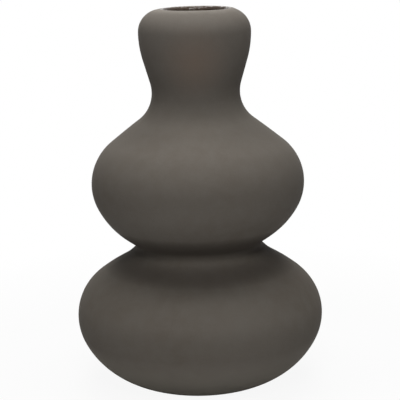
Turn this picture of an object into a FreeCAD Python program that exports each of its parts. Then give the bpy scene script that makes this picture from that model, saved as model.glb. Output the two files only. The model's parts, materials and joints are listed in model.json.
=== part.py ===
import FreeCAD, Part
import enum
import math
import os
import Sketcher

# Gourd vase in matt stoneware: three stacked bulbs with a crisp waist, a neck and a small
# open mouth. The clay wall is one turned piece, even in thickness. A glossy glaze lines its
# whole inside, from the crest of the lip down to the floor, and makes the vase hold water.
# Millimetres, +Z up. The origin is on the axis, in the plane of the flat foot.

SIZES = {
    # the whole vase
    "overall_height": 250.0,
    # clay wall, and the glaze that lies on its inside
    "wall": 4.2,
    "glaze": 0.5,
    # flat foot ring with a shallow recess inside it, and the long curve that lifts off the table
    "foot_radius": 42.5,
    "foot_ring_width": 8.0,
    "foot_recess": 2.0,
    "foot_sweep": 58.0,
    # lower bulb
    "lower_bulb_radius": 82.5,
    # waist: the crisp crease between the lower and the middle bulb
    "waist_radius": 41.2,
    "waist_crease": 2.4,
    # middle bulb, with the longer curve of its underside
    "underside_sweep": 56.0,
    "middle_bulb_radius": 70.5,
    # neck
    "neck_radius": 29.0,
    # top bulb: a straight flank up from the neck, a long curve, and a tight shoulder above
    "top_flank": 15.4,
    "top_bulb_radius": 36.8,
    "shoulder_rounding": 15.2,
    # mouth: clear radius at the narrowest place inside the lip
    "mouth_radius": 20.8,
    # how far a cutting section runs past the face that it opens
    "cut_overrun": 1.0,
    # the outline's levels, and the radii of its roundings, as shares of the overall height
    "lower_bulb_level_share": 0.1824,
    "lower_bulb_rounding_share": 0.1412,
    "waist_level_share": 0.374,
    "middle_bulb_level_share": 0.5408,
    "middle_bulb_rounding_share": 0.136,
    "neck_level_share": 0.782,
    "neck_rounding_share": 0.0928,
}

# Surfaces of the vase, each by the layers that lie between it and the outside
OUTSIDE = ()
CLAY_INSIDE = ("wall",)
GLAZE_INSIDE = ("wall", "glaze")


class Spot(enum.IntEnum):
    """The points of an edge that a rule can name."""

    START = enum.auto()
    END = enum.auto()
    CENTRE = enum.auto()


class Fixed(enum.IntEnum):
    """The sketch's own axes. The level one also carries the origin, as its start."""

    TURNING_AXIS = -2
    LEVEL_AXIS = -1


START, END, CENTRE = Spot
TURNING_AXIS, LEVEL_AXIS = Fixed
ORIGIN = LEVEL_AXIS


def size(name):
    """A named size. One that is kept as a share is taken of the overall height."""
    if name in SIZES:
        return SIZES[name]
    return SIZES["overall_height"] * SIZES[f"{name}_share"]


def size_text(name):
    """The same size, as an expression that reads the sheet."""
    if name in SIZES:
        return f"sizes.{name}"
    return f"sizes.overall_height * sizes.{name}_share"


def vec(x, y):
    return FreeCAD.Vector(x, y, 0)


def unit(angle):
    return vec(math.cos(angle), math.sin(angle))


def heading(start, finish):
    return math.atan2(finish.y - start.y, finish.x - start.x)


def meeting_point(first, first_reach, second, second_reach, side):
    """The point at given distances from two points, to the left (1) or right (-1) of their line."""
    span = (second - first).Length
    along = (first_reach**2 - second_reach**2 + span**2) / (2 * span)
    across = math.sqrt(first_reach**2 - along**2)
    angle = heading(first, second)
    return first + unit(angle) * along + unit(angle + math.pi / 2) * across * side


def flank_normal(bulb, bulb_rounding, hollow, hollow_rounding, side):
    """The way that a straight flank faces, where it touches a bulb and the hollow beside it."""
    span = (hollow - bulb).Length
    return heading(bulb, hollow) + side * math.acos((bulb_rounding + hollow_rounding) / span)


def lip_radius():
    """The lip is a full round over the clay and the glaze together."""
    return (SIZES["wall"] + SIZES["glaze"]) / 2


def top_bulb_sweep(neck, widest_level):
    """Radius of the top bulb's long curve: the one that ends where its straight flank begins."""
    rounding = size("neck_rounding")
    gap = neck.x - SIZES["top_bulb_radius"]
    climb = widest_level - neck.y
    return (gap**2 + climb**2 - rounding**2 - SIZES["top_flank"]**2) / (2 * (rounding - gap))


def arc_centres():
    """Centres of the section's arcs, the same for each surface because the wall is even."""
    s = SIZES
    centre = {}
    centre["lower"] = vec(s["lower_bulb_radius"] - size("lower_bulb_rounding"), size("lower_bulb_level"))
    centre["waist"] = vec(s["waist_radius"] + s["waist_crease"], size("waist_level"))
    centre["middle"] = vec(
        s["middle_bulb_radius"] - size("middle_bulb_rounding"), size("middle_bulb_level"))
    centre["neck"] = vec(s["neck_radius"] + size("neck_rounding"), size("neck_level"))
    centre["lip"] = vec(s["mouth_radius"] + lip_radius(), s["overall_height"] - lip_radius())
    centre["foot"] = meeting_point(
        vec(s["foot_radius"], 0), s["foot_sweep"],
        centre["lower"], s["foot_sweep"] - size("lower_bulb_rounding"), 1)
    centre["underside"] = meeting_point(
        centre["middle"], s["underside_sweep"] - size("middle_bulb_rounding"),
        centre["waist"], s["underside_sweep"] + s["waist_crease"], -1)
    inset = s["top_bulb_radius"] - s["shoulder_rounding"]
    reach = s["shoulder_rounding"] - lip_radius()
    drop = math.sqrt(reach**2 - (centre["lip"].x - inset)**2)
    centre["shoulder"] = vec(inset, centre["lip"].y - drop)
    sweep = top_bulb_sweep(centre["neck"], centre["shoulder"].y)
    centre["top"] = vec(s["top_bulb_radius"] - sweep, centre["shoulder"].y)
    return centre


class Section:
    """A closed half section of the vase in its own sketch, with sizes bound to the sheet."""

    def __init__(self, body, name, layers):
        self.sketch = body.newObject("Sketcher::SketchObject", name)
        self.sketch.AttachmentSupport = (origin_plane(body, "XZ_Plane"), [""])
        self.sketch.MapMode = "FlatFace"
        self.layers = layers
        self.depth = sum(SIZES[layer] for layer in layers)

    def add(self, edge):
        return self.sketch.addGeometry(edge, False)

    def line(self, start, finish):
        return self.add(Part.LineSegment(start, finish))

    def arc(self, centre, radius, first_angle, last_angle):
        circle = Part.Circle(centre, FreeCAD.Vector(0, 0, 1), radius)
        return self.add(Part.ArcOfCircle(circle, first_angle, last_angle))

    def rule(self, *parts):
        return self.sketch.addConstraint(Sketcher.Constraint(*parts))

    def bind(self, expression, *parts):
        """A rule whose last part is a size that the sheet gives."""
        index = self.rule(*parts)
        name = f"bound_{index}"
        self.sketch.renameConstraint(index, name)
        self.sketch.setExpression(f"Constraints.{name}", expression)

    def bind_place(self, edge, end, place, across, up):
        """Ties a point's distance from the axis and its level to two expressions."""
        self.bind(across, "DistanceX", ORIGIN, START, edge, end, place.x)
        self.bind(up, "DistanceY", ORIGIN, START, edge, end, place.y)

    def layers_text(self, sign):
        return "".join(f" {sign} sizes.{layer}" for layer in self.layers)

    def bulge(self, centre, rounding, low, high):
        """An arc that swells outward. Its start is its lower end."""
        edge = self.arc(centre, size(rounding) - self.depth, low, high)
        self.bind(size_text(rounding) + self.layers_text("-"),
                  "Radius", edge, size(rounding) - self.depth)
        return edge

    def hollow(self, centre, rounding, low, high):
        """An arc that draws in. Its end is its lower end."""
        edge = self.arc(centre, size(rounding) + self.depth, high, low)
        self.bind(size_text(rounding) + self.layers_text("+"),
                  "Radius", edge, size(rounding) + self.depth)
        return edge

    def flank(self, bulb, bulb_rounding, hollow, hollow_rounding, facing):
        """The straight stretch between a bulb's arc and a hollow's arc."""
        at_bulb = bulb + unit(facing) * (bulb_rounding - self.depth)
        at_hollow = hollow - unit(facing) * (hollow_rounding + self.depth)
        return self.line(at_bulb, at_hollow)

    def side_wall(self, foot_start):
        """All stretches from the foot's curve up to the shoulder. Gives the foot's and shoulder's arcs."""
        c = arc_centres()
        lower_rounding = size("lower_bulb_rounding")
        crease = size("waist_crease")
        middle_rounding = size("middle_bulb_rounding")
        neck_rounding = size("neck_rounding")
        sweep = top_bulb_sweep(c["neck"], c["top"].y)
        lower_facing = flank_normal(c["lower"], lower_rounding, c["waist"], crease, -1)
        middle_facing = flank_normal(c["middle"], middle_rounding, c["neck"], neck_rounding, -1)
        top_facing = flank_normal(c["top"], sweep, c["neck"], neck_rounding, 1)
        foot_join = heading(c["foot"], c["lower"])
        middle_join = heading(c["underside"], c["middle"])

        foot = self.bulge(c["foot"], "foot_sweep", foot_start, foot_join)
        lower = self.bulge(c["lower"], "lower_bulb_rounding", foot_join, lower_facing)
        lower_flank = self.flank(c["lower"], lower_rounding, c["waist"], crease, lower_facing)
        waist = self.hollow(
            c["waist"], "waist_crease", lower_facing + math.pi, heading(c["waist"], c["underside"]))
        underside = self.bulge(
            c["underside"], "underside_sweep", heading(c["underside"], c["waist"]), middle_join)
        middle = self.bulge(c["middle"], "middle_bulb_rounding", middle_join, middle_facing)
        middle_flank = self.flank(
            c["middle"], middle_rounding, c["neck"], neck_rounding, middle_facing)
        neck = self.hollow(
            c["neck"], "neck_rounding", middle_facing + math.pi, top_facing + math.pi)
        top_flank = self.flank(c["top"], sweep, c["neck"], neck_rounding, top_facing)
        self.bind("sizes.top_flank", "Distance", top_flank, SIZES["top_flank"])
        top = self.arc(c["top"], sweep - self.depth, top_facing, 0)
        shoulder = self.bulge(
            c["shoulder"], "shoulder_rounding", 0, heading(c["shoulder"], c["lip"]))

        self.rule("Tangent", foot, END, lower, START)
        self.rule("Tangent", lower, END, lower_flank, START)
        self.rule("Tangent", lower_flank, END, waist, END)
        self.rule("Tangent", waist, START, underside, START)
        self.rule("Tangent", underside, END, middle, START)
        self.rule("Tangent", middle, END, middle_flank, START)
        self.rule("Tangent", middle_flank, END, neck, END)
        self.rule("Tangent", neck, START, top_flank, END)
        self.rule("Tangent", top_flank, START, top, START)
        self.rule("Coincident", top, END, shoulder, START)
        self.rule("Horizontal", top, CENTRE, top, END)
        self.rule("Horizontal", shoulder, CENTRE, shoulder, START)

        self.bind_place(lower, CENTRE, c["lower"],
                        "sizes.lower_bulb_radius - " + size_text("lower_bulb_rounding"),
                        size_text("lower_bulb_level"))
        self.bind_place(waist, CENTRE, c["waist"],
                        "sizes.waist_radius + sizes.waist_crease", size_text("waist_level"))
        self.bind_place(middle, CENTRE, c["middle"],
                        "sizes.middle_bulb_radius - " + size_text("middle_bulb_rounding"),
                        size_text("middle_bulb_level"))
        self.bind_place(neck, CENTRE, c["neck"],
                        "sizes.neck_radius + " + size_text("neck_rounding"),
                        size_text("neck_level"))
        widest = SIZES["top_bulb_radius"] - self.depth
        self.bind("sizes.top_bulb_radius" + self.layers_text("-"),
                  "DistanceX", ORIGIN, START, shoulder, START, widest)
        return foot, shoulder

    def bind_lip(self, edge):
        self.bind_place(edge, CENTRE, arc_centres()["lip"],
                        "sizes.mouth_radius + (sizes.wall + sizes.glaze) / 2",
                        "sizes.overall_height - (sizes.wall + sizes.glaze) / 2")


def origin_plane(body, role):
    return next(plane for plane in body.Origin.OriginFeatures if plane.Role == role)


def outer_section(body, name):
    """Everything inside the vase's outer surface, solid right to the axis."""
    section = Section(body, name, OUTSIDE)
    c = arc_centres()
    foot_edge = vec(SIZES["foot_radius"], 0)
    foot, shoulder = section.side_wall(heading(c["foot"], foot_edge))

    # the lip's outer half, up to its crest
    lip = section.arc(c["lip"], lip_radius(), heading(c["shoulder"], c["lip"]), math.pi / 2)
    section.rule("Tangent", shoulder, END, lip, START)
    section.rule("Vertical", lip, CENTRE, lip, END)
    section.bind_lip(lip)

    # straight closing lines: across the mouth, down the axis and out along the foot
    crest = vec(c["lip"].x, SIZES["overall_height"])
    over_mouth = section.line(crest, vec(0, crest.y))
    axis = section.line(vec(0, crest.y), vec(0, 0))
    under_foot = section.line(vec(0, 0), foot_edge)
    section.rule("Coincident", lip, END, over_mouth, START)
    section.rule("Horizontal", over_mouth)
    section.rule("Coincident", over_mouth, END, axis, START)
    section.rule("Vertical", axis)
    section.rule("Coincident", axis, END, ORIGIN, START)
    section.rule("Coincident", under_foot, START, ORIGIN, START)
    section.rule("Horizontal", under_foot)
    section.rule("Coincident", under_foot, END, foot, START)
    section.bind("sizes.foot_radius", "DistanceX", under_foot, START, under_foot, END, foot_edge.x)
    return section.sketch


def inner_section(body, name, layers, top, top_text):
    """Everything inside an inner surface, from its floor up to the given level over the mouth."""
    section = Section(body, name, layers)
    s = SIZES
    c = arc_centres()
    floor_level = s["foot_recess"] + section.depth
    sweep = s["foot_sweep"] - section.depth
    floor_angle = math.asin((floor_level - c["foot"].y) / sweep)
    foot, shoulder = section.side_wall(floor_angle)

    # the foot's curve keeps the centre that it has on the outside
    foot_edge = vec(s["foot_radius"], 0)
    spoke = section.line(foot_edge, c["foot"])
    section.sketch.setConstruction(spoke, True)
    section.rule("PointOnObject", spoke, START, LEVEL_AXIS)
    section.bind("sizes.foot_radius", "DistanceX", ORIGIN, START, spoke, START, foot_edge.x)
    section.rule("Coincident", spoke, END, foot, CENTRE)
    section.bind("sizes.foot_sweep", "Distance", spoke, s["foot_sweep"])

    # the lip's inner half, from its crest down and round to the shoulder's inside
    radius = section.depth - lip_radius()
    lip = section.arc(c["lip"], radius, math.pi / 2, heading(c["lip"], c["shoulder"]))
    section.rule("Tangent", shoulder, END, lip, END)
    section.rule("Vertical", lip, CENTRE, lip, START)
    section.bind_lip(lip)

    # straight closing lines: up from the lip, over to the axis, down it and out along the floor
    crest = vec(c["lip"].x, c["lip"].y + radius)
    floor_edge = c["foot"] + unit(floor_angle) * sweep
    rise = section.line(crest, vec(crest.x, top))
    over_mouth = section.line(vec(crest.x, top), vec(0, top))
    axis = section.line(vec(0, top), vec(0, floor_level))
    floor = section.line(vec(0, floor_level), floor_edge)
    section.rule("Coincident", lip, START, rise, START)
    section.rule("Vertical", rise)
    section.rule("Coincident", rise, END, over_mouth, START)
    section.rule("Horizontal", over_mouth)
    section.rule("Coincident", over_mouth, END, axis, START)
    section.rule("PointOnObject", axis, START, TURNING_AXIS)
    section.rule("Vertical", axis)
    section.rule("Coincident", axis, END, floor, START)
    section.rule("Horizontal", floor)
    section.rule("Coincident", floor, END, foot, START)
    section.bind(top_text, "DistanceY", ORIGIN, START, axis, START, top)
    section.bind("sizes.foot_recess" + section.layers_text("+"),
                 "DistanceY", ORIGIN, START, axis, END, floor_level)
    return section.sketch


def foot_recess_section(body, name):
    """The shallow hollow under the foot. Its side slopes in as far as the hollow is deep."""
    section = Section(body, name, OUTSIDE)
    s = SIZES
    depth = s["foot_recess"]
    below = -s["cut_overrun"]
    edge = s["foot_radius"] - s["foot_ring_width"]
    corner = vec(edge - depth, depth)
    slope = section.line(vec(edge, 0), corner)
    ceiling = section.line(corner, vec(0, depth))
    axis = section.line(vec(0, depth), vec(0, below))
    bottom = section.line(vec(0, below), vec(edge, below))
    side = section.line(vec(edge, below), vec(edge, 0))
    section.rule("Coincident", slope, END, ceiling, START)
    section.rule("Horizontal", ceiling)
    section.rule("Coincident", ceiling, END, axis, START)
    section.rule("PointOnObject", axis, START, TURNING_AXIS)
    section.rule("Vertical", axis)
    section.rule("Coincident", axis, END, bottom, START)
    section.rule("Horizontal", bottom)
    section.rule("Coincident", bottom, END, side, START)
    section.rule("Vertical", side)
    section.rule("Coincident", side, END, slope, START)
    section.rule("PointOnObject", slope, START, LEVEL_AXIS)
    section.bind("sizes.foot_radius - sizes.foot_ring_width",
                 "DistanceX", ORIGIN, START, slope, START, edge)
    section.bind("sizes.foot_recess", "DistanceY", ORIGIN, START, slope, END, depth)
    section.bind("sizes.foot_recess", "DistanceX", slope, END, slope, START, depth)
    section.bind("sizes.cut_overrun", "DistanceY", bottom, END, slope, START, s["cut_overrun"])
    return section.sketch


def turn(body, kind, name, sketch):
    """Turns a half section about the vase's axis, to add it to the body or cut it away."""
    feature = body.newObject(kind, name)
    feature.Profile = sketch
    feature.ReferenceAxis = (sketch, ["V_Axis"])
    feature.Angle = 360
    sketch.Visibility = False
    return feature


def make_sheet(doc):
    sheet = doc.addObject("Spreadsheet::Sheet", "sizes")
    for row, (name, value) in enumerate(SIZES.items(), start=1):
        sheet.set(f"A{row}", name)
        sheet.set(f"B{row}", str(value))
        sheet.setAlias(f"B{row}", name)
    return sheet


def make_vase_body(doc):
    """The clay: turned form, opened by the inside and by the recess under the foot."""
    body = doc.addObject("PartDesign::Body", "vase_body")
    turn(body, "PartDesign::Revolution", "turned_form", outer_section(body, "outer_section"))
    top = SIZES["overall_height"] + SIZES["cut_overrun"]
    inside = inner_section(
        body, "inside_section", CLAY_INSIDE, top, "sizes.overall_height + sizes.cut_overrun")
    turn(body, "PartDesign::Groove", "inside", inside)
    turn(body, "PartDesign::Groove", "foot_hollow", foot_recess_section(body, "foot_hollow_section"))
    return body


def make_glaze_lining(doc):
    """The glaze: fills the clay's inside flush with the lip's crest, then is hollowed in turn."""
    body = doc.addObject("PartDesign::Body", "glaze_lining")
    fill = inner_section(
        body, "fill_section", CLAY_INSIDE, SIZES["overall_height"], "sizes.overall_height")
    turn(body, "PartDesign::Revolution", "glaze_fill", fill)
    top = SIZES["overall_height"] + SIZES["cut_overrun"]
    water = inner_section(
        body, "water_section", GLAZE_INSIDE, top, "sizes.overall_height + sizes.cut_overrun")
    turn(body, "PartDesign::Groove", "water_space", water)
    return body


def check(doc, parts):
    for item in doc.Objects:
        if "Invalid" in item.State or "Error" in item.State:
            raise RuntimeError(f"{item.Name} failed: {item.State}")
    for part in parts:
        if part.Shape.isNull() or not part.Shape.isValid():
            raise RuntimeError(f"{part.Name} has no valid shape")
        if len(part.Shape.Solids) != 1:
            raise RuntimeError(f"{part.Name} is not one solid")


doc = FreeCAD.newDocument("gourd_vase")
make_sheet(doc)
parts = [make_vase_body(doc), make_glaze_lining(doc)]
doc.recompute()
for part in parts:
    part.Label = part.Name
    part.Placement = FreeCAD.Placement()
doc.recompute()
check(doc, parts)

os.makedirs("parts", exist_ok=True)
for part in parts:
    part.Shape.exportStep(f"parts/{part.Label}.step")
    box = part.Shape.optimalBoundingBox(True, False)
    print(part.Label, "volume", round(part.Shape.Volume), "mm3, diameter", round(box.XLength, 2),
          "mm, levels", round(box.ZMin, 2), "to", round(box.ZMax, 2), "mm")
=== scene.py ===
# %% [markdown]
# # A gourd vase in matt stoneware
# The vase is one turned clay wall: three bulbs on top of each other, a crisp waist above the
# first, a narrow neck above the second, and a small open mouth. It is matt and dark outside and
# has a glossy brown glaze inside. The packed model gives the size and the place of everything,
# so the frame is loaded first and its box is kept.

# %% Load the packed frame
import json
import math
import bmesh
import bpy
from mathutils import Matrix, Vector, noise

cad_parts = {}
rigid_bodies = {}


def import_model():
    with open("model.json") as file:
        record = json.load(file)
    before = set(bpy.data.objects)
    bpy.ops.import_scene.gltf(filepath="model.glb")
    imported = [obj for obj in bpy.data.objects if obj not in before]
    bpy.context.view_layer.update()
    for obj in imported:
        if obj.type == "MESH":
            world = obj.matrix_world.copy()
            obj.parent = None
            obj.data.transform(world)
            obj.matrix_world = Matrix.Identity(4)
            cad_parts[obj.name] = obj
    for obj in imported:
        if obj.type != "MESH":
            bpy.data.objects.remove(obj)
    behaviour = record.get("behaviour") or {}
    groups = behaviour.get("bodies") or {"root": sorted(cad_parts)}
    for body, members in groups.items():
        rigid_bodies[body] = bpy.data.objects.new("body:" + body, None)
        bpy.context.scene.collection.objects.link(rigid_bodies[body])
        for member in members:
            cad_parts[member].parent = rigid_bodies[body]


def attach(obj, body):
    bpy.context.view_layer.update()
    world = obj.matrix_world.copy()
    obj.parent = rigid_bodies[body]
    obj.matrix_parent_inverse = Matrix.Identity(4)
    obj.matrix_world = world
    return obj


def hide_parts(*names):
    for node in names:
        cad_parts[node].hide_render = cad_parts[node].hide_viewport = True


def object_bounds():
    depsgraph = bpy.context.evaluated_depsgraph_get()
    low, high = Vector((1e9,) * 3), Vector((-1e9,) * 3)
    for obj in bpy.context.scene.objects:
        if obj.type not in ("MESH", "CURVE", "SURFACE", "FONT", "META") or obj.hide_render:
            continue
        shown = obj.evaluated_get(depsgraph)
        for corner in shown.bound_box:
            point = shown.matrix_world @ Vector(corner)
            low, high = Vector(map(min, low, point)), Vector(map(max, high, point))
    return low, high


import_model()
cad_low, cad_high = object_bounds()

MM = 0.001
HEIGHT = cad_high.z
WIDEST = cad_high.x
print("box in mm:", [round(side / MM, 1) for side in cad_high - cad_low])

# %% [markdown]
# ## The outline
# A thrower would see this side wall as a few long curves that flow into each other. It could be
# a list of many measured points, but arcs that meet without a corner say the same with few
# sizes, and stay smooth at any fineness. The levels follow the height, and each radius has its
# own value. A straight flank joins each bulb to the hollow beside it.

# %% The sizes of the side wall
FOOT_RADIUS = 42.5 * MM
FOOT_SWEEP = 58.0 * MM
LOWER_ROUNDING = 35.3 * MM
LOWER_LEVEL = 0.1824 * HEIGHT
WAIST_RADIUS = 41.2 * MM
WAIST_CREASE = 2.4 * MM
WAIST_LEVEL = 0.374 * HEIGHT
UNDERSIDE_SWEEP = 56.0 * MM
MIDDLE_RADIUS = 70.5 * MM
MIDDLE_ROUNDING = 34.0 * MM
MIDDLE_LEVEL = 0.5408 * HEIGHT
NECK_RADIUS = 29.0 * MM
NECK_ROUNDING = 23.2 * MM
NECK_LEVEL = 0.782 * HEIGHT
TOP_FLANK = 15.4 * MM
TOP_RADIUS = 36.8 * MM
SHOULDER_ROUNDING = 15.2 * MM
MOUTH_RADIUS = 20.8 * MM
WALL = 4.2 * MM
GLAZE = 0.5 * MM
LIP_ROUNDING = (WALL + GLAZE) / 2
FOOT_RING_WIDTH = 8.0 * MM
FOOT_RECESS = 2.0 * MM
print("widest bulb", round(2 * WIDEST / MM, 1), "mm across, wall", round(WALL / MM, 1), "mm")


# %% Where the arcs have their centres
def heading(start, finish):
    return math.atan2(finish.y - start.y, finish.x - start.x)


def ray(angle, reach):
    return Vector((math.cos(angle), math.sin(angle))) * reach


def meeting_point(first, first_reach, second, second_reach, side):
    """The point at given distances from two others, left (1) or right (-1) of their line."""
    span = (second - first).length
    along = (first_reach**2 - second_reach**2 + span**2) / (2 * span)
    across = math.sqrt(first_reach**2 - along**2)
    angle = heading(first, second)
    return first + ray(angle, along) + ray(angle + math.pi / 2, across * side)


lower = Vector((WIDEST - LOWER_ROUNDING, LOWER_LEVEL))
waist = Vector((WAIST_RADIUS + WAIST_CREASE, WAIST_LEVEL))
middle = Vector((MIDDLE_RADIUS - MIDDLE_ROUNDING, MIDDLE_LEVEL))
neck = Vector((NECK_RADIUS + NECK_ROUNDING, NECK_LEVEL))
lip = Vector((MOUTH_RADIUS + LIP_ROUNDING, HEIGHT - LIP_ROUNDING))
foot = meeting_point(Vector((FOOT_RADIUS, 0)), FOOT_SWEEP, lower, FOOT_SWEEP - LOWER_ROUNDING, 1)
underside = meeting_point(
    middle, UNDERSIDE_SWEEP - MIDDLE_ROUNDING, waist, UNDERSIDE_SWEEP + WAIST_CREASE, -1)
shoulder_x = TOP_RADIUS - SHOULDER_ROUNDING
shoulder_drop = math.sqrt((SHOULDER_ROUNDING - LIP_ROUNDING)**2 - (lip.x - shoulder_x)**2)
shoulder = Vector((shoulder_x, lip.y - shoulder_drop))
gap = neck.x - TOP_RADIUS
climb = shoulder.y - neck.y
TOP_SWEEP = (gap**2 + climb**2 - NECK_ROUNDING**2 - TOP_FLANK**2) / (2 * (NECK_ROUNDING - gap))
top = Vector((TOP_RADIUS - TOP_SWEEP, shoulder.y))
print("the top bulb's long curve has a radius of", round(TOP_SWEEP / MM, 1), "mm")


# %% The outline as points with the way they face
POINT_SPACING = 1.6 * MM


def flank_facing(bulb, bulb_rounding, hollow, hollow_rounding, side):
    span = (hollow - bulb).length
    return heading(bulb, hollow) + side * math.acos((bulb_rounding + hollow_rounding) / span)


def along_arc(centre, radius, start, finish, bulges=True):
    """Points of an arc from one facing to another, each with the way that the wall faces."""
    steps = max(3, round(abs(finish - start) * radius / POINT_SPACING))
    angles = [start + (finish - start) * step / steps for step in range(steps + 1)]
    sign = 1 if bulges else -1
    return [(centre + ray(angle, radius * sign), angle) for angle in angles]


lower_flank = flank_facing(lower, LOWER_ROUNDING, waist, WAIST_CREASE, -1)
middle_flank = flank_facing(middle, MIDDLE_ROUNDING, neck, NECK_ROUNDING, -1)
top_flank = flank_facing(top, TOP_SWEEP, neck, NECK_ROUNDING, 1)
foot_edge_facing = heading(foot, Vector((FOOT_RADIUS, 0)))
lip_start = heading(shoulder, lip)
outline = (
    along_arc(foot, FOOT_SWEEP, foot_edge_facing, heading(foot, lower))
    + along_arc(lower, LOWER_ROUNDING, heading(foot, lower), lower_flank)
    + along_arc(waist, WAIST_CREASE, lower_flank, heading(underside, waist), bulges=False)
    + along_arc(underside, UNDERSIDE_SWEEP, heading(underside, waist), heading(underside, middle))
    + along_arc(middle, MIDDLE_ROUNDING, heading(underside, middle), middle_flank)
    + along_arc(neck, NECK_ROUNDING, middle_flank, top_flank, bulges=False)
    + along_arc(top, TOP_SWEEP, top_flank, 0)
    + along_arc(shoulder, SHOULDER_ROUNDING, 0, lip_start)
    + along_arc(lip, LIP_ROUNDING, lip_start, math.pi / 2))
print(len(outline), "points from the foot's edge to the crest of the lip")


# %% Straight flanks get points too, and doubled points go
def even_out(points):
    """Fills long straight stretches and drops points that lie on the one before."""
    even = [points[0]]
    for point, facing in points[1:]:
        last = even[-1][0]
        span = (point - last).length
        steps = round(span / POINT_SPACING)
        for step in range(1, steps):
            even.append((last.lerp(point, step / steps), facing))
        if span > POINT_SPACING / 100:
            even.append((point, facing))
    return even


outline = even_out(outline)
print(len(outline), "points with the flanks filled")

# %% [markdown]
# ## What the hand leaves
# A turned and trimmed vase is never quite a body of revolution. On this one the waist tilts a
# little, so that its right side is higher, the middle leans to the right by a third of a
# millimetre, the mouth sits a little to the right and its left side dips, and the wall wanders
# by about a tenth of a millimetre. The curves aren't quite arcs either: the waist is filled at
# its deepest and the flank below it is a little hollow, the upper bulbs are a trace fuller and
# the foot is a trace narrower. A modifier could add noise in one go, but then the lining would
# leave the clay. One function that moves any point of the space is used for both pieces, so
# they stay in touch.

# %% The sizes of what the hand leaves
WAIST_TILT = 0.014
WAIST_REACH = 16.5 * MM
MIDDLE_LEAN = 0.30 * MM
MIDDLE_LEAN_LEVEL = 0.62 * HEIGHT
MIDDLE_LEAN_REACH = 28 * MM
MOUTH_SHIFT = 1.1 * MM
MOUTH_SHIFT_FROM = HEIGHT - 12 * MM
LIP_UNEVENNESS = 0.26 * MM
LIP_WAVES = ((1, 4.5, 1.0), (2, 2.1, 0.6), (5, 0.0, 0.4))
WALL_WANDER = 0.07 * MM
WANDER_SIZE = 38 * MM
UPPER_FULLNESS = 0.2 * MM
SHOULDER_SWELL = 0.42 * MM
SHOULDER_SWELL_LEVEL = 0.684 * HEIGHT
SHOULDER_SWELL_REACH = 11 * MM
WAIST_FILL = 1.3 * MM
WAIST_FILL_REACH = 3.4 * MM
FLANK_HOLLOW = 0.95 * MM
FLANK_HOLLOW_LEVEL = WAIST_LEVEL - 8 * MM
FLANK_RISE = 0.35 * MM
FLANK_RISE_LEVEL = WAIST_LEVEL - 15 * MM
FLANK_REACH = 3.6 * MM
FOOT_SHRINK = 0.50 * MM
FOOT_SHRINK_REACH = 12 * MM
print("the waist's right side is", round(2 * WAIST_TILT * WAIST_RADIUS / MM, 1), "mm higher")


# %% One bend of the space for clay and glaze
def ease(value):
    value = min(1, max(0, value))
    return value * value * (3 - 2 * value)


def hump(z, level, reach):
    """A smooth hump over the height: 1 at its level, and next to nothing at twice the reach."""
    return math.exp(-((z - level) / reach)**2)


def swelling(z):
    """How much fuller the wall is at a height than its outline."""
    return (UPPER_FULLNESS * ease((z - WAIST_LEVEL) / WAIST_REACH)
            + SHOULDER_SWELL * hump(z, SHOULDER_SWELL_LEVEL, SHOULDER_SWELL_REACH)
            - FOOT_SHRINK * hump(z, 0, FOOT_SHRINK_REACH)
            + WAIST_FILL * hump(z, WAIST_LEVEL, WAIST_FILL_REACH)
            - FLANK_HOLLOW * hump(z, FLANK_HOLLOW_LEVEL, FLANK_REACH)
            + FLANK_RISE * hump(z, FLANK_RISE_LEVEL, FLANK_REACH))


def lip_sink(turn):
    """How far the lip lies below its full height: long waves and short ones, added up."""
    waves = sum(share * math.sin(count * turn + phase) for count, phase, share in LIP_WAVES)
    return LIP_UNEVENNESS * (1 + waves / 2) / 2


def by_hand(point):
    """Where a point of the perfect vase lies on the one that hands made."""
    x, y, z = point
    radius = math.hypot(x, y)
    inside = ease((lip.x + 2 * LIP_ROUNDING - radius) / (2 * LIP_ROUNDING))
    if radius > 0:
        wander = noise.noise(Vector((x, y, z)) / WANDER_SIZE)
        growth = swelling(z) - WALL_WANDER * (1 + wander)
        stretch = 1 + growth / max(radius, FOOT_RADIUS)
        x, y = x * stretch, y * stretch
    x += MIDDLE_LEAN * hump(z, MIDDLE_LEAN_LEVEL, MIDDLE_LEAN_REACH)
    tilt = WAIST_TILT * hump(z, WAIST_LEVEL, WAIST_REACH)
    near_lip = ease((z - MOUTH_SHIFT_FROM) / (HEIGHT - MOUTH_SHIFT_FROM))
    sink = lip_sink(math.atan2(y, x)) * near_lip
    return Vector((x + MOUTH_SHIFT * near_lip * inside, y, z + tilt * x - sink))


print("the lip's left side is", round(lip_sink(math.pi) / MM, 2), "mm below its full height")

# %% [markdown]
# ## Turning an outline into a closed piece
# The Spin and Screw tools would do it, yet a short function gives full control: one ring of
# points for each outline point, quads between the rings, and a fan where the outline meets the
# axis. The outline goes round the whole section, so each piece is a closed solid.

# %% The turning helper
AROUND = 224
ON_AXIS = MM / 1000


def turned_piece(name, section):
    """Turns a section, which starts and ends on the axis, into a mesh."""
    mesh = bpy.data.meshes.new(name)
    build = bmesh.new()
    rings = []
    for radius, level in section:
        if radius < ON_AXIS:
            rings.append([build.verts.new(by_hand((0, 0, level)))] * AROUND)
            continue
        ring = []
        for step in range(AROUND):
            turn = 2 * math.pi * step / AROUND
            place = (radius * math.cos(turn), radius * math.sin(turn), level)
            ring.append(build.verts.new(by_hand(place)))
        rings.append(ring)
    for below, above in zip(rings, rings[1:]):
        for step in range(AROUND):
            following = (step + 1) % AROUND
            corners = [below[step], below[following], above[following], above[step]]
            build.faces.new(list(dict.fromkeys(corners)))
    bmesh.ops.recalc_face_normals(build, faces=build.faces)
    build.to_mesh(mesh)
    build.free()
    piece = bpy.data.objects.new(name, mesh)
    bpy.context.scene.collection.objects.link(piece)
    mesh.shade_smooth()
    return piece


print("each ring has", AROUND, "points")


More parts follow.
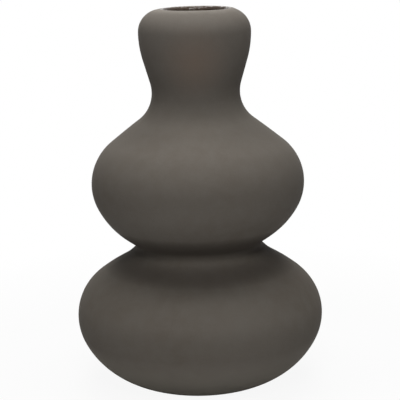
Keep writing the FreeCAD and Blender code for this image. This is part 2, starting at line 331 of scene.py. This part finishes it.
# %% The wall at a depth, and the inner half of the lip
def inset(depth):
    """The outline, moved into the wall."""
    return [point - ray(facing, depth) for point, facing in outline]


def hidden_wall(depth, floor_level):
    """The outline at a depth, between a floor and the lip."""
    return [place for place in inset(depth) if floor_level < place.y < lip.y - LIP_ROUNDING]


def over_lip(radius, steps):
    """From the hidden side of the rounded lip up to its crest."""
    sweep = lip_start + math.pi / 2
    return [lip + ray(lip_start + math.pi - sweep * step / steps, radius)
            for step in range(steps + 1)]


print("the lip is rounded to", round(LIP_ROUNDING / MM, 2), "mm")

# %% [markdown]
# ## The clay
# The real wall was cast or thrown as one piece of clay, with a ring left standing round a
# shallow hollow under the foot. Its section runs along the foot, up the outside and over the
# lip, then down the hidden inside to the floor. The sharp corners of the foot are broken a
# little, as a sponge leaves them.

# %% The clay body
FOOT_SOFTENING = 0.6 * MM


def softened(before, corner, after):
    """Three points in place of a sharp corner."""
    back = corner + (before - corner).normalized() * FOOT_SOFTENING
    ahead = corner + (after - corner).normalized() * FOOT_SOFTENING
    between = (back + corner * 2 + ahead) / 4
    return [back, between, ahead]


clay_floor = FOOT_RECESS + WALL
outside = inset(0)
ring_edge = Vector((FOOT_RADIUS - FOOT_RING_WIDTH, 0))
recess_corner = ring_edge + Vector((-FOOT_RECESS, FOOT_RECESS))
hidden_side = (
    list(reversed(over_lip(WALL - LIP_ROUNDING, 10)))
    + list(reversed(hidden_wall(WALL, clay_floor)))
    + [Vector((0, clay_floor))])
clay_section = (
    [Vector((0, FOOT_RECESS)), recess_corner]
    + softened(recess_corner, ring_edge, outside[0])
    + softened(ring_edge, outside[0], outside[1])
    + outside[1:]
    + hidden_side)
clay_body = turned_piece("fired_clay_body", clay_section)
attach(clay_body, "root")
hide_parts("vase_body")
print("clay body:", len(clay_body.data.polygons), "faces")

# %% [markdown]
# ## The glaze inside
# Glaze is poured in, swirled and poured out. It runs down a little, so the real coat is a thin
# glassy skin over the whole inside, which ends on the crest of the lip. It could be painted on
# the clay's own faces, but as a closed coat with its own thickness it has a real edge there.

# %% The glaze coat
coat_floor = clay_floor + GLAZE
coat_section = (
    [Vector((0, coat_floor))]
    + hidden_wall(WALL + GLAZE, coat_floor)
    + over_lip(LIP_ROUNDING, 14)
    + hidden_side)
glaze_coat = turned_piece("inner_glaze_coat", coat_section)
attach(glaze_coat, "root")
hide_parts("glaze_lining")
print("glaze coat:", len(glaze_coat.data.polygons), "faces")

# %% [markdown]
# ## Writing finishes as sums
# A material is a graph of nodes, and wiring it by hand hides what it means. The class below
# wraps the output of a node, so that a sum such as 1 - mask adds the Math node that it needs.
# Every other node comes from one method, which sets its settings first and its sockets after.

# %% A wire that can be added and multiplied
class Wire:
    """One output of a node. Sums on it add Math nodes to the same graph."""

    def __init__(self, socket):
        self.socket = socket

    def maths(self, operation, first, second):
        tree = self.socket.id_data
        node = tree.nodes.new("ShaderNodeMath")
        node.operation = operation
        for slot, value in zip(node.inputs, (first, second)):
            if isinstance(value, Wire):
                tree.links.new(value.socket, slot)
            else:
                slot.default_value = value
        return Wire(node.outputs[0])

    def __add__(self, other):
        return self.maths("ADD", self, other)

    def __radd__(self, other):
        return self.maths("ADD", other, self)

    def __sub__(self, other):
        return self.maths("SUBTRACT", self, other)

    def __rsub__(self, other):
        return self.maths("SUBTRACT", other, self)

    def __mul__(self, other):
        return self.maths("MULTIPLY", self, other)

    def __rmul__(self, other):
        return self.maths("MULTIPLY", other, self)

    def __truediv__(self, other):
        return self.maths("DIVIDE", self, other)

    def __rtruediv__(self, other):
        return self.maths("DIVIDE", other, self)

    def held(self):
        """The same value, kept between 0 and 1."""
        low = self.maths("MAXIMUM", self, 0)
        return self.maths("MINIMUM", low, 1)


print("sums on wires:", ", ".join(sorted(name for name in vars(Wire) if name.startswith("__r"))))


# %% A finish and its one method for nodes
def named(sockets, name):
    return next(socket for socket in sockets if name in (socket.identifier, socket.name))


class Finish:
    """The nodes of a material or of the world, with one method that makes any of them."""

    def __init__(self, owner):
        owner.use_nodes = True
        self.owner = owner
        self.tree = owner.node_tree
        self.tree.nodes.clear()

    def node(self, kind, settings, sockets, output=None):
        """Makes a node and hands out one of its outputs, the first if none is named."""
        node = self.tree.nodes.new(kind)
        for name, value in settings.items():
            setattr(node, name, value)
        for name, value in sockets.items():
            slot = named(node.inputs, name)
            if isinstance(value, Wire):
                self.tree.links.new(value.socket, slot)
            else:
                slot.default_value = value
        if output:
            return Wire(named(node.outputs, output))
        return Wire(node.outputs[0]) if node.outputs else None

    def ends_in(self, shader, kind="ShaderNodeOutputMaterial"):
        self.node(kind, {}, {"Surface": shader})

    def place(self):
        """Where a point lies on the piece, in metres."""
        return self.node("ShaderNodeTexCoord", {}, {}, "Object")

    def level(self):
        return self.node("ShaderNodeSeparateXYZ", {}, {"Vector": self.place()}, "Z")


print("a finish has one method for nodes:", Finish.node.__name__)


# %% Patterns and blends that the finishes share
def cloud(finish, size, detail=2.0, roughness=0.5):
    """Soft noise whose patches are about as wide as the size."""
    return finish.node("ShaderNodeTexNoise", {}, {
        "Vector": finish.place(), "Scale": 1 / size, "Detail": detail, "Roughness": roughness})


def dots(finish, spacing, radius, share):
    """Small round dots, in the given share of the cells of a loose net."""
    cells = {"Vector": finish.place(), "Scale": 1 / spacing}
    away = finish.node("ShaderNodeTexVoronoi", {}, cells, "Distance")
    chance = finish.node("ShaderNodeTexVoronoi", {}, cells, "Color")
    pick = finish.node("ShaderNodeSeparateColor", {}, {"Color": chance}, "Red")
    inside = ((radius / spacing - away) * 12).held()
    return inside * ((pick - (1 - share)) * 50).held()


def band(level, middle_level, half_width):
    """A soft ring round the vase: 1 at its middle, and 0 from the half width on."""
    away = (level - middle_level) / half_width
    return (1 - away * away).held()


def blend(finish, mask, first, second):
    """The first colour where the mask is 0, and the second where it is 1."""
    return finish.node("ShaderNodeMix", {"data_type": "RGBA"}, {
        "Factor_Float": mask, "A_Color": first, "B_Color": second}, "Result_Color")


def layered(finish, tone, layers):
    """Lays colours over a tone, one after another, each where its mask says."""
    for mask, colour in layers:
        tone = blend(finish, mask, tone, colour)
    return tone


print("noise, dots, bands and layers are ready")

# %% [markdown]
# ## Matt stoneware
# The fired clay is a dark warm grey-brown that drifts from place to place, with a very fine
# grain, a few specks of iron burnt darker than the rest, and a few pale ones. It isn't shiny: a
# trace of gloss is left where it is seen at a shallow angle. Light and shade are also painted
# into its colour by height. Painted shade: darkest in the crease of the waist and on the shelf
# below it, a trace darker on the slope below that, over the upper half and in the throat.
# Painted light: paler toward the top, a trace paler at the flare below the neck, and paler
# toward the foot. A faint warm, lighter patch lies on the front of the top bulb. The foot and the
# outer edge of the lip are rubbed. Painting an image would fix all this to one fineness, while
# noise at four sizes stays sharp from near and far.

# %% The stoneware's noises and specks
stoneware = Finish(bpy.data.materials.new("matt_stoneware"))
drift = cloud(stoneware, 60 * MM, detail=1.5)
mottle = cloud(stoneware, 9 * MM, detail=4.0, roughness=0.6)
grain = cloud(stoneware, 0.9 * MM, detail=3.0, roughness=0.65)
fine_grain = cloud(stoneware, 0.35 * MM)
iron = dots(stoneware, 7 * MM, 0.36 * MM, 0.30)
pale_specks = dots(stoneware, 6 * MM, 0.34 * MM, 0.30)
print("noises and specks:", len(stoneware.tree.nodes), "nodes")

# %% Where painted shade and painted light lie on the clay, and where it is rubbed
level = stoneware.level()
# Painted light: the clay is made paler toward the top.
painted_light_toward_top = ((level - WAIST_LEVEL) / (HEIGHT - WAIST_LEVEL)).held()
# Painted shade in bands by height: upper half, throat, crease, shelf, slope. Painted light at the
# flare.
painted_shade_upper_half = band(level, NECK_LEVEL - 3.4 * MM, 72 * MM)
painted_shade_throat = band(level, NECK_LEVEL + 8 * MM, 13 * MM)
painted_light_flare = band(level, NECK_LEVEL - 13 * MM, 10 * MM)
painted_shade_crease = band(level, WAIST_LEVEL + 5.8 * MM, 8.6 * MM)
painted_shade_shelf = band(level, WAIST_LEVEL - 10.5 * MM, 5.9 * MM)
painted_shade_slope = band(level, WAIST_LEVEL - 18.5 * MM, 18.5 * MM)
# Painted light: the clay is made paler toward the foot.
painted_light_toward_foot = (1 - level / (35 * MM)).held()
from_patch = stoneware.node("ShaderNodeVectorMath", {"operation": "DISTANCE"}, {
    "Vector": stoneware.place(), "Vector_001": (0, -TOP_RADIUS, shoulder.y - 17 * MM)}, "Value")
warm_patch = (1 - from_patch / (26 * MM)).held()
lip_edge = ((level - (HEIGHT - 2.2 * MM)) / (1.6 * MM)).held()
foot_edge = (1 - level / (1.5 * MM)).held()
rubbed = ((lip_edge * 0.5 + foot_edge * 0.6) * (mottle * 1.6)).held()
print("masks:", len(stoneware.tree.nodes), "nodes so far")

# %% The stoneware's colour
# Some colours paint light and shade: the upper one paints light, the dark one paints shade, and
# the pale one paints light besides colouring the pale specks.
BROWN_CLAY = (0.116, 0.1005, 0.084, 1)
GREY_CLAY = (0.134, 0.1205, 0.104, 1)
LIGHT_CLAY = (0.1425, 0.130, 0.113, 1)
PAINTED_LIGHT_UPPER_CLAY = (0.205, 0.188, 0.171, 1)
GRAIN_DARK = (0.082, 0.072, 0.060, 1)
PAINTED_SHADE_CLAY = (0.060, 0.051, 0.043, 1)
PALE_SPECK_AND_PAINTED_LIGHT_CLAY = (0.26, 0.24, 0.205, 1)
WARM_CLAY = (0.172, 0.129, 0.101, 1)
IRON_DARK = (0.045, 0.036, 0.028, 1)
RUBBED_CLAY = (0.25, 0.225, 0.19, 1)
body_tone = blend(stoneware, ((drift - 0.3) * 2.2).held(), BROWN_CLAY, GREY_CLAY)
body_tone = layered(stoneware, body_tone, (
    (((mottle - 0.35) * 1.8).held(), LIGHT_CLAY),
    # Painted light toward the top.
    (painted_light_toward_top * 0.28, PAINTED_LIGHT_UPPER_CLAY),
    (((grain - 0.45) * 1.6).held() * 0.35, GRAIN_DARK),
    # Painted shade in the crease, over the upper half, on the shelf, on the slope and in the
    # throat, then painted light at the flare and toward the foot.
    (painted_shade_crease * 0.75, PAINTED_SHADE_CLAY),
    (painted_shade_upper_half * 0.15, PAINTED_SHADE_CLAY),
    (painted_shade_shelf * 0.50, PAINTED_SHADE_CLAY),
    (painted_shade_slope * 0.22, PAINTED_SHADE_CLAY),
    (painted_shade_throat * 0.10, PAINTED_SHADE_CLAY),
    (painted_light_flare * 0.10, PALE_SPECK_AND_PAINTED_LIGHT_CLAY),
    (painted_light_toward_foot, PALE_SPECK_AND_PAINTED_LIGHT_CLAY),
    (warm_patch * 0.65, WARM_CLAY),
    (pale_specks * 0.55, PALE_SPECK_AND_PAINTED_LIGHT_CLAY),
    (iron * 0.6, IRON_DARK),
    (rubbed * 0.45, RUBBED_CLAY)))
print("colour:", len(stoneware.tree.nodes), "nodes so far")

# %% The stoneware's surface
GRAIN_DEPTH = 0.05 * MM
MOTTLE_DEPTH = 0.25 * MM
clay_roughness = (0.56 + mottle * 0.12 + grain * 0.08 - rubbed * 0.08).held()
grain_relief = stoneware.node("ShaderNodeBump", {}, {
    "Strength": 0.5, "Distance": GRAIN_DEPTH, "Height": grain * 0.7 + fine_grain * 0.3})
clay_relief = stoneware.node("ShaderNodeBump", {}, {
    "Strength": 0.35, "Distance": MOTTLE_DEPTH, "Height": mottle, "Normal": grain_relief})
stoneware.ends_in(stoneware.node("ShaderNodeBsdfPrincipled", {}, {
    "Base Color": body_tone, "Roughness": clay_roughness, "Normal": clay_relief,
    "IOR": 1.45, "Specular IOR Level": 0.03}))
clay_body.data.materials.append(stoneware.owner)
print("stoneware:", len(stoneware.tree.nodes), "nodes")

# %% [markdown]
# ## Glossy brown glaze
# Inside the mouth the same clay is under a glassy coat that looks dark brown and mirrors the
# light from above. The coat is never flat: it pools and thins, so its mirror image wavers. On
# the crest of the lip it thins out, so the brown gets lighter and duller. A clear layer over a
# diffuse base would do too, but one shader with a low roughness and a slow bump is enough here.

# %% The glaze finish
THICK_GLAZE = (0.040, 0.025, 0.016, 1)
THIN_GLAZE = (0.072, 0.049, 0.034, 1)
CREST_GLAZE = (0.13, 0.105, 0.08, 1)
CREST_DEPTH = 0.7 * MM
RIPPLE_DEPTH = 2.4 * MM
glaze = Finish(bpy.data.materials.new("glossy_brown_glaze"))
pooling = cloud(glaze, 16 * MM)
ripple = cloud(glaze, 4.5 * MM, detail=1.5)
crest = ((glaze.level() - (HEIGHT - CREST_DEPTH)) / CREST_DEPTH).held()
glaze_tone = blend(glaze, ((pooling - 0.3) * 2.5).held(), THICK_GLAZE, THIN_GLAZE)
glaze_tone = blend(glaze, crest * (0.20 + ripple * 0.5), glaze_tone, CREST_GLAZE)
glaze_relief = glaze.node("ShaderNodeBump", {}, {
    "Strength": 0.9, "Distance": RIPPLE_DEPTH, "Height": pooling * 0.3 + ripple * 0.7})
glaze.ends_in(glaze.node("ShaderNodeBsdfPrincipled", {}, {
    "Base Color": glaze_tone, "Roughness": (0.09 + ripple * 0.08 + crest * 0.20).held(),
    "Normal": glaze_relief, "IOR": 1.52, "Specular IOR Level": 0.22}))
glaze_coat.data.materials.append(glaze.owner)
print("glaze:", len(glaze.tree.nodes), "nodes")

# %% [markdown]
# ## A white table
# The vase stands on a plain white surface that runs out of the frame, and the background has no
# visible edge. A big pale sheet takes light and gives it back to the vase from below. What the
# camera sees of it is nearly white, so that only a soft shadow round the foot remains.

# %% The table's sheet
TABLE_REACH = 0.7
CORNERS = ((-1, -1), (1, -1), (1, 1), (-1, 1))
sheet = bpy.data.meshes.new("white_table")
sheet.from_pydata(
    [(x * TABLE_REACH, y * TABLE_REACH, cad_low.z) for x, y in CORNERS], [], [(0, 1, 2, 3)])
white_table = bpy.data.objects.new("white_table", sheet)
bpy.context.scene.collection.objects.link(white_table)
print("table reaches", TABLE_REACH, "m each way")

# %% The table's paint
WHITE = (1, 1, 1, 1)
TABLE_GREY = (0.60, 0.60, 0.60, 1)
SEEN_WHITE = 0.92
FADE_FROM = 2.2 * WIDEST
FADE_OVER = 2.5 * WIDEST
table = Finish(bpy.data.materials.new("white_table"))
seen = table.node("ShaderNodeLightPath", {}, {}, "Is Camera Ray")
paint = table.node("ShaderNodeBsdfDiffuse", {}, {"Color": TABLE_GREY})
glow = table.node("ShaderNodeEmission", {}, {"Color": WHITE, "Strength": 1.0})
from_middle = table.node(
    "ShaderNodeVectorMath", {"operation": "LENGTH"}, {"Vector": table.place()}, "Value")
far_away = ((from_middle - FADE_FROM) / FADE_OVER).held()
table.ends_in(table.node("ShaderNodeMixShader", {}, {
    "Fac": seen * (SEEN_WHITE + far_away * (1 - SEEN_WHITE)),
    "Shader": paint, "Shader_001": glow}))
sheet.materials.append(table.owner)
print("paint:", len(table.tree.nodes), "nodes")

# %% [markdown]
# ## Soft light from above
# A product photographer hangs one wide soft box straight above the vase, sets a smaller one
# high in front, and puts a third behind it, which lights the shoulders that face away. White
# walls fill the rest. That gives the bright shoulders, the even fronts and the dark undersides
# of the real picture. One bright dome would be simpler, but it would flatten the bulbs. The
# surroundings look white to the camera and in gloss, and light the clay only weakly.

# %% Three soft boxes
AIM = Vector((0, 0, 0.6 * HEIGHT))
# Each box has a name, a place and a size in metres, and its watts.
SOFT_BOXES = (
    ("top_soft_box", (0.0, 0.0, 1.15), (0.9, 0.35), 10.6),
    ("front_soft_box", (0.0, -0.9, 0.85), (0.4, 0.4), 5.9),
    ("back_soft_box", (0.0, 0.9, 0.95), (0.5, 0.5), 4.2))
for name, place, size, watts in SOFT_BOXES:
    lamp = bpy.data.lights.new(name, "AREA")
    lamp.shape = "RECTANGLE"
    lamp.size, lamp.size_y = size
    lamp.energy = watts
    box = bpy.data.objects.new(name, lamp)
    box.location = place
    box.rotation_euler = (AIM - Vector(place)).to_track_quat("-Z", "Y").to_euler()
    bpy.context.scene.collection.objects.link(box)
    print(name, "gives", watts, "W")

# %% The white surroundings
AMBIENT = 0.01
WHITE_TO = ("Is Camera Ray", "Is Glossy Ray", "Is Transmission Ray")
studio = Finish(bpy.data.worlds.new("white_studio"))
shown = sum(studio.node("ShaderNodeLightPath", {}, {}, ray_kind) for ray_kind in WHITE_TO).held()
studio.ends_in(studio.node("ShaderNodeBackground", {}, {
    "Color": WHITE, "Strength": AMBIENT + shown * (1 - AMBIENT)}), "ShaderNodeOutputWorld")
bpy.context.scene.world = studio.owner
bpy.context.scene.view_settings.view_transform = "Standard"
print("ambient strength", AMBIENT)

# %% [markdown]
# ## The camera
# The photograph was taken from in front and a little above, with a long lens: the far lip is
# hardly smaller than the near one. The outline of the vase gives the camera's place well,
# because a round vase shows the same outline from every side. The picture is rolled by about
# one degree. The angles are in radians.

# %% The camera
CAMERA_AWAY = 0.9157
CAMERA_UP = 0.3114
LOOK_DOWN = 0.2034
LOOK_ASIDE = -0.0015
ROLL = -0.0201
LENS = 125.9
SENSOR = 36.0
ahead = Vector((-math.sin(LOOK_ASIDE) * math.cos(LOOK_DOWN),
                math.cos(LOOK_ASIDE) * math.cos(LOOK_DOWN), -math.sin(LOOK_DOWN)))
level_right = Vector((math.cos(LOOK_ASIDE), math.sin(LOOK_ASIDE), 0))
level_up = level_right.cross(ahead)
camera_right = level_right * math.cos(ROLL) + level_up * math.sin(ROLL)
camera_up = level_up * math.cos(ROLL) - level_right * math.sin(ROLL)
camera_data = bpy.data.cameras.new("camera")
camera_data.lens = LENS
camera_data.sensor_width = SENSOR
camera = bpy.data.objects.new("camera", camera_data)
bpy.context.scene.collection.objects.link(camera)
camera.matrix_world = (Matrix.Translation((0, -CAMERA_AWAY, CAMERA_UP))
                       @ Matrix((camera_right, camera_up, -ahead)).transposed().to_4x4())
bpy.context.scene.camera = camera
print("the camera is", round(CAMERA_AWAY, 2), "m away with a", LENS, "mm lens")

# %% [markdown]
# ## Closing
# Finally the view layer is brought up to date.

# %% Bring the scene up to date
bpy.context.view_layer.update()
